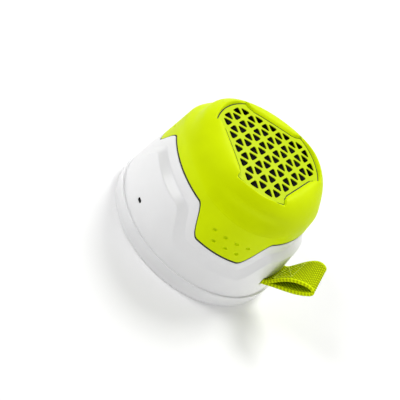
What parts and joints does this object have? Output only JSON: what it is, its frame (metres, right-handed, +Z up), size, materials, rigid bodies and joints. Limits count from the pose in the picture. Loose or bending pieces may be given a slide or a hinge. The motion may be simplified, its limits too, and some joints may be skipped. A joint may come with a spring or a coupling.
{
  "type": "shower speaker",
  "caption": "Round splash-proof speaker with a lobed rubber cap, a pierced triangular grille facing up, side buttons, a covered charging port and a sewn webbing hanging loop.",
  "frame": {"origin": "middle of the face that the speaker stands on", "axes": "+Z up out of the grille, +X out through the webbing loop, buttons and port at 120 degrees from +X"},
  "size_m": [0.101, 0.0842, 0.0602],
  "materials": {
    "white_plastic": "satin moulded plastic",
    "lime_rubber": "soft silky silicone rubber",
    "lime_plastic": "fine matt moulded plastic",
    "lime_webbing": "woven polyester webbing",
    "dark_rubber": "matt rubber",
    "dark_plastic": "matt plastic",
    "membrane_cloth": "fine black waterproof cloth",
    "screw_steel": "plated steel",
    "basket_metal": "black painted pressed steel",
    "magnet_ceramic": "sintered ferrite",
    "surround_rubber": "soft rubber",
    "cone_paper": "coated paper",
    "copper_winding": "enamelled copper wire on a former",
    "spider_cloth": "varnished corrugated cloth",
    "battery_foil": "pouch foil",
    "board_laminate": "solder-masked laminate",
    "screen_metal": "stamped bright metal",
    "lead_sheath": "flexible lead sheath"
  },
  "bodies": {
    "speaker_body": {"housing_shell": "white_plastic", "grip_cap": "lime_rubber", "grille_panel": "lime_plastic", "grille_carrier": "dark_plastic", "carrier_screws": "screw_steel", "acoustic_membrane": "membrane_cloth", "base_cover": "white_plastic", "foot_ring": "dark_rubber", "seal_ring": "dark_rubber", "base_screws": "screw_steel", "webbing_loop": "lime_webbing", "webbing_bar": "screw_steel", "driver_basket": "basket_metal", "driver_gasket": "dark_rubber", "driver_screws": "screw_steel", "magnet_top_plate": "screw_steel", "driver_magnet": "magnet_ceramic", "magnet_back_plate": "screw_steel", "battery_cell": "battery_foil", "battery_pad": "dark_rubber", "main_board": "board_laminate", "board_screws": "screw_steel", "board_components": "dark_plastic", "wireless_module": "screen_metal", "usb_socket": "screen_metal", "button_board": "board_laminate", "tact_switches": "dark_plastic", "port_hinge_pin": "screw_steel", "microphone": "screen_metal", "microphone_boot": "dark_rubber", "speaker_leads": "lead_sheath", "battery_leads": "lead_sheath"},
    "diaphragm": {"surround": "surround_rubber", "speaker_cone": "cone_paper", "dust_cap": "cone_paper", "voice_coil": "copper_winding", "spider": "spider_cloth"},
    "power_button": {"power_button": "white_plastic"},
    "volume_up_button": {"volume_up_button": "white_plastic"},
    "volume_down_button": {"volume_down_button": "white_plastic"},
    "port_cover": {"port_cover": "white_plastic"}
  },
  "joints": [
    {"name": "diaphragm_stroke", "type": "slide", "parent": "speaker_body", "child": "diaphragm", "axis": [0, 0, 1], "range_m": [-0.0008, 0.0008], "stiffness_N_per_m": 1500, "deforming": ["surround", "spider"]},
    {"name": "power_press", "type": "slide", "parent": "speaker_body", "child": "power_button", "axis": [0.5, -0.866, 0], "range_m": [0, 0.0005], "stiffness_N_per_m": 1500},
    {"name": "volume_up_press", "type": "slide", "parent": "speaker_body", "child": "volume_up_button", "axis": [0.2334, -0.9724, 0], "range_m": [0, 0.0005], "stiffness_N_per_m": 1500},
    {"name": "volume_down_press", "type": "slide", "parent": "speaker_body", "child": "volume_down_button", "axis": [0.7254, -0.6884, 0], "range_m": [0, 0.0005], "stiffness_N_per_m": 1500},
    {"name": "port_cover_swing", "type": "hinge", "parent": "speaker_body", "child": "port_cover", "pos_m": [-0.01459, 0.03748, 0.0158], "axis": [0, 0, -1], "range_deg": [0, 100]}
  ]
}
